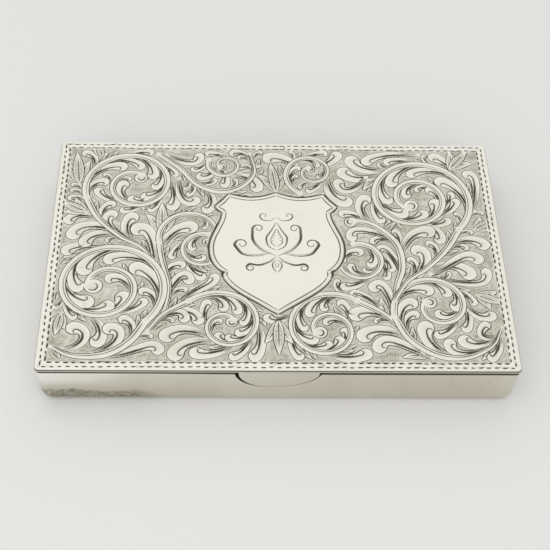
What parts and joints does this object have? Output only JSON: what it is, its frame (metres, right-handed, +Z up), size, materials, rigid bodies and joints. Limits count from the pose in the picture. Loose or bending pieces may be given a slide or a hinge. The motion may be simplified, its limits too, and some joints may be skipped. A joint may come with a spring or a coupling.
{
  "type": "business card case",
  "caption": "Flat rectangular silver card case with an engraved hinged lid, a half-oval thumb tab in the front wall and a shallow tray for cards.",
  "frame": {"origin": "middle of the underside, which lies on the surface the case rests on", "axes": "+X along the long side to the right of someone facing the thumb tab, +Y from the thumb tab to the hinge, +Z up through the engraved lid"},
  "size_m": [0.092, 0.06, 0.0105],
  "materials": {
    "silver_engraved": "polished sterling silver, hand engraved, tarnish in the cuts",
    "silver_polished": "polished sterling silver with light tarnish and handling marks",
    "silver_satin": "filed and soldered sterling silver",
    "pin_wire": "drawn wire"
  },
  "bodies": {
    "tray": {"tray_shell": "silver_polished", "tray_hinge_bearer": "silver_satin", "tray_knuckle_1": "silver_satin", "tray_knuckle_2": "silver_satin", "tray_knuckle_3": "silver_satin", "tray_knuckle_4": "silver_satin", "hinge_pin": "pin_wire"},
    "lid": {"lid_plate": "silver_engraved", "lid_hinge_bearer": "silver_satin", "lid_knuckle_1": "silver_satin", "lid_knuckle_2": "silver_satin", "lid_knuckle_3": "silver_satin", "lid_rim_front": "silver_satin", "lid_rim_left": "silver_satin", "lid_rim_right": "silver_satin", "rim_pip_left": "silver_satin", "rim_pip_right": "silver_satin", "thumb_tab": "silver_polished"}
  },
  "joints": [
    {"name": "lid_hinge", "type": "hinge", "parent": "tray", "child": "lid", "pos_m": [0, 0.02875, 0.0082], "axis": [-1, 0, 0], "range_deg": [0, 104]}
  ]
}
